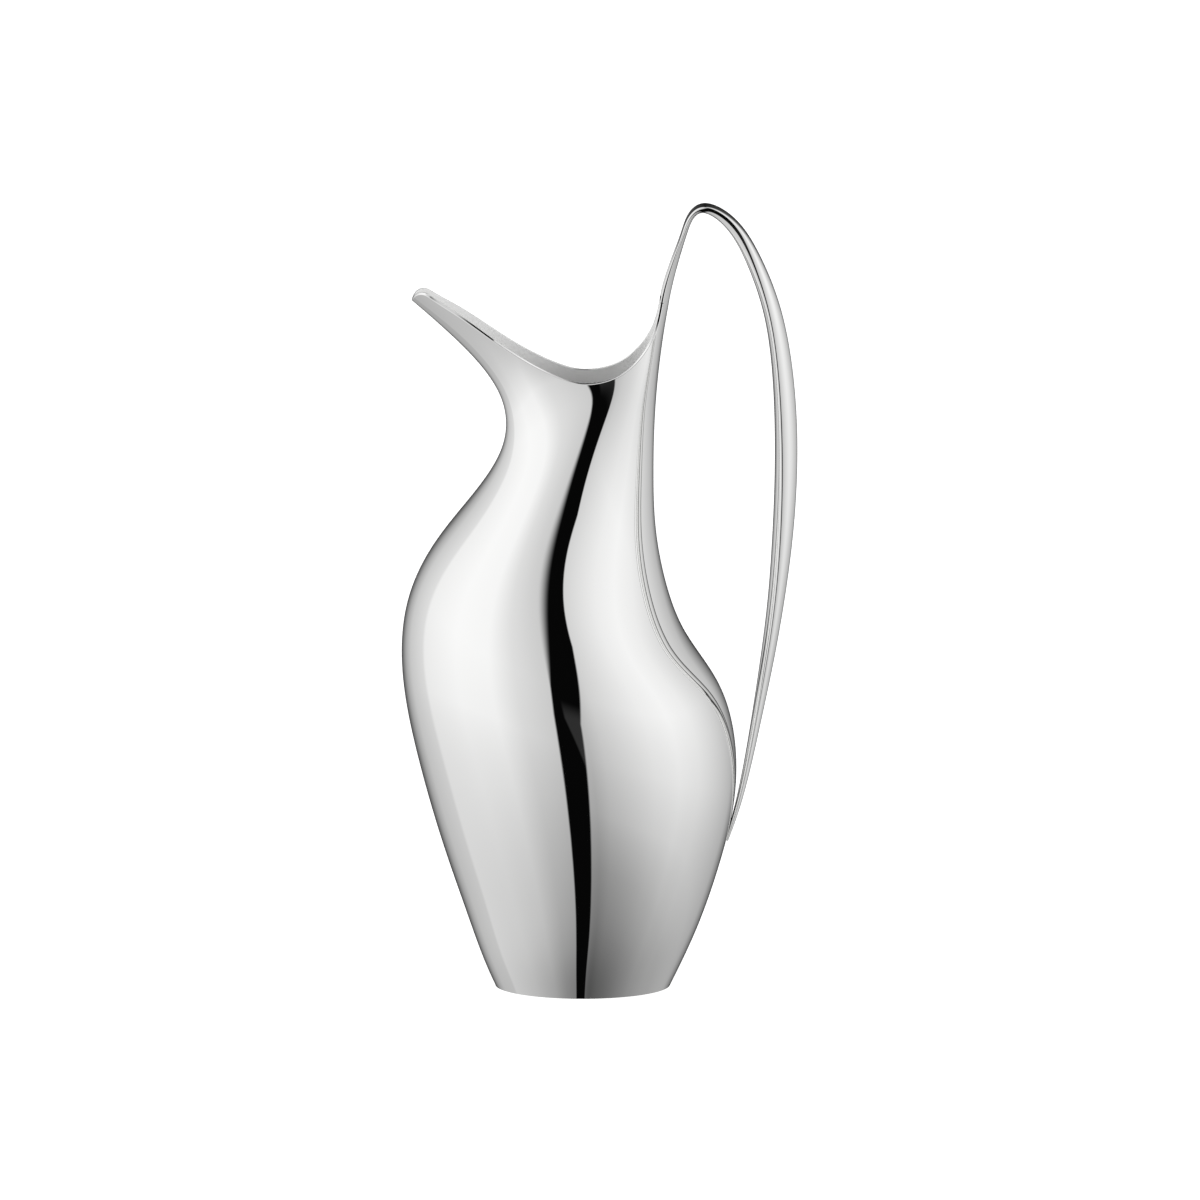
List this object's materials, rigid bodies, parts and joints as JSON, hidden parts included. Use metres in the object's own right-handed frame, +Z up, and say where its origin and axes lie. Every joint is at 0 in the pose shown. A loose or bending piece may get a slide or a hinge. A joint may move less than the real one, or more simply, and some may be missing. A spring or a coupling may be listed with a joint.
{
  "type": "water pitcher",
  "caption": "Tall polished steel water pitcher with a bird-like spout, round belly, leaning neck and a slim looped handle that runs up out of the rim and down to the belly.",
  "frame": {"origin": "centre of the foot's resting face, on the table", "axes": "+Z up, spout towards -X, handle towards +X, symmetric about the plane Y = 0"},
  "size_m": [0.1429, 0.1176, 0.2847],
  "materials": {
    "polished_steel": "polished",
    "spun_steel": "brushed",
    "ground_weld": "polished"
  },
  "bodies": {
    "root": {"body_half_right": "polished_steel", "body_half_left": "polished_steel", "handle_strap": "polished_steel", "grip_half_right": "polished_steel", "grip_half_left": "polished_steel", "handle_tail": "polished_steel", "base_disc": "spun_steel", "body_front_weld": "ground_weld", "body_back_weld": "ground_weld", "base_weld": "ground_weld", "handle_root_weld": "ground_weld", "handle_strap_weld": "ground_weld", "grip_seam_weld": "ground_weld", "handle_tail_weld": "ground_weld", "handle_braze": "ground_weld"}
  },
  "joints": []
}
